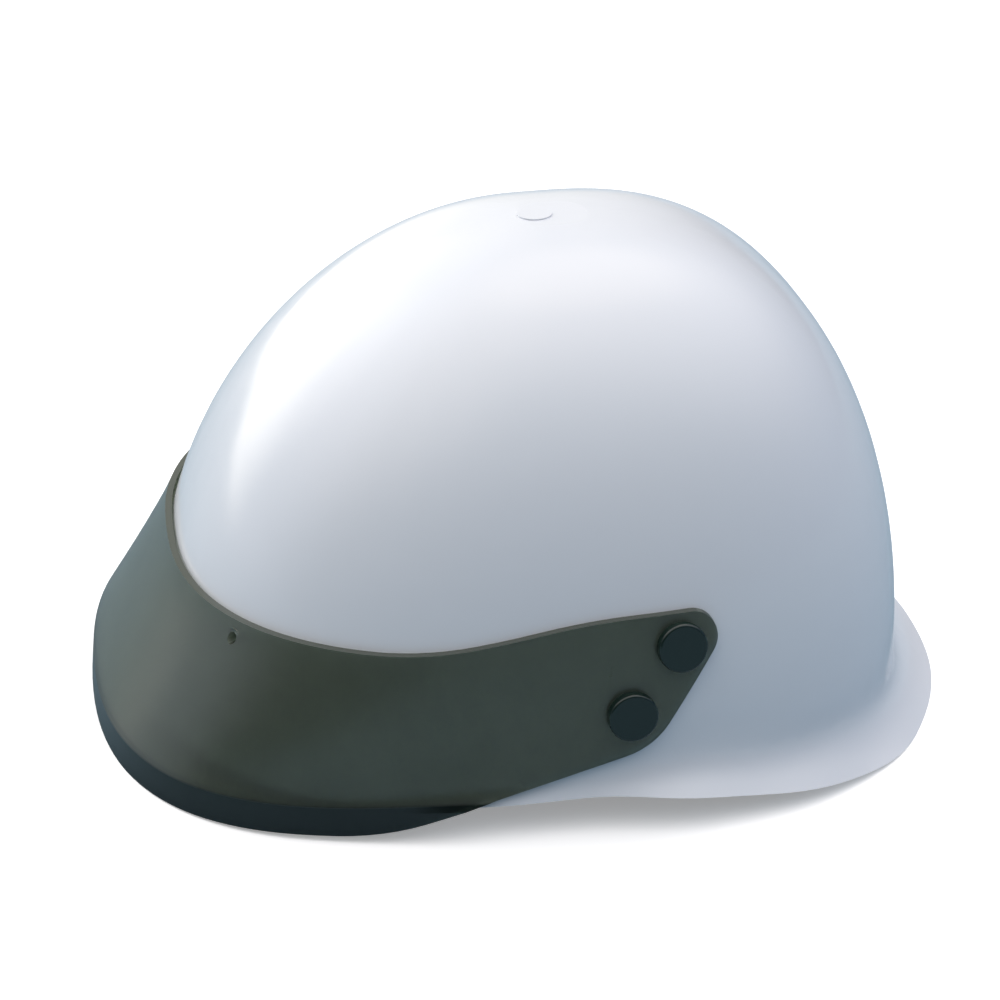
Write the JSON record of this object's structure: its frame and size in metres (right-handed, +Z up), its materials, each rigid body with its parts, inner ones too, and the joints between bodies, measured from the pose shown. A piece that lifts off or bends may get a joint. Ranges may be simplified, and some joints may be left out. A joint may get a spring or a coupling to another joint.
{
  "type": "hard hat",
  "caption": "Industrial safety helmet: moulded dome with a flared rear brim, riveted smoke translucent visor, foam liner, webbing cradle and ratchet headband.",
  "frame": {"origin": "centre of the whole helmet's bounding box, on the surface it stands on", "axes": "+X the wearer's left, -Y the front where the visor is, +Y the rear brim, +Z up; it stands on the rear rim and the visor's lip"},
  "size_m": [0.2224, 0.2806, 0.1546],
  "materials": {
    "shell_white": "glossy white ABS moulding",
    "visor_smoke": "glossy smoke translucent polycarbonate",
    "rivet_black": "glossy black plastic button",
    "rivet_cap_black": "black plastic press-on cap",
    "liner_foam": "fine beaded expanded polystyrene",
    "harness_grey": "satin polyethylene moulding",
    "webbing": "woven polyester webbing",
    "padding": "knitted cloth over soft foam",
    "knob_dark": "satin moulding with grip ribs"
  },
  "bodies": {
    "helmet": {"shell": "shell_white", "visor": "visor_smoke", "impact_liner": "liner_foam", "visor_rivet_left_upper": "rivet_black", "visor_rivet_left_lower": "rivet_black", "visor_rivet_right_upper": "rivet_black", "visor_rivet_right_lower": "rivet_black", "rivet_cap_left_upper": "rivet_cap_black", "rivet_cap_left_lower": "rivet_cap_black", "rivet_cap_right_upper": "rivet_cap_black", "rivet_cap_right_lower": "rivet_cap_black", "harness_key_left_front": "harness_grey", "harness_key_left_side": "harness_grey", "harness_key_left_rear": "harness_grey", "harness_key_right_front": "harness_grey", "harness_key_right_side": "harness_grey", "harness_key_right_rear": "harness_grey", "crown_strap_left_front": "webbing", "crown_strap_right_front": "webbing", "crown_strap_side": "webbing", "crown_pad": "padding", "headband": "harness_grey", "sweatband": "padding", "nape_housing": "harness_grey", "nape_cover": "harness_grey", "nape_pad": "padding"},
    "tail_left": {"headband_tail_left": "harness_grey"},
    "tail_right": {"headband_tail_right": "harness_grey"},
    "knob": {"adjuster_knob": "knob_dark"}
  },
  "joints": [
    {"name": "knob_turn", "type": "hinge", "parent": "helmet", "child": "knob", "pos_m": [0, 0.01589, 0.02434], "axis": [0, 0.9994, 0.0357], "range_deg": [-140, 140]},
    {"name": "tail_left_slide", "type": "hinge", "parent": "helmet", "child": "tail_left", "pos_m": [0, 0.01589, 0.02434], "axis": [0, -0.0357, 0.9994], "range_deg": [-10.5, 10.5]},
    {"name": "tail_right_slide", "type": "hinge", "parent": "helmet", "child": "tail_right", "pos_m": [0, 0.01589, 0.02434], "axis": [0, -0.0357, 0.9994], "range_deg": [-10.5, 10.5]}
  ],
  "couplings": [
    {"joint": "tail_left_slide", "follows": "knob_turn", "ratio": -0.073983},
    {"joint": "tail_right_slide", "follows": "knob_turn", "ratio": 0.073983}
  ]
}
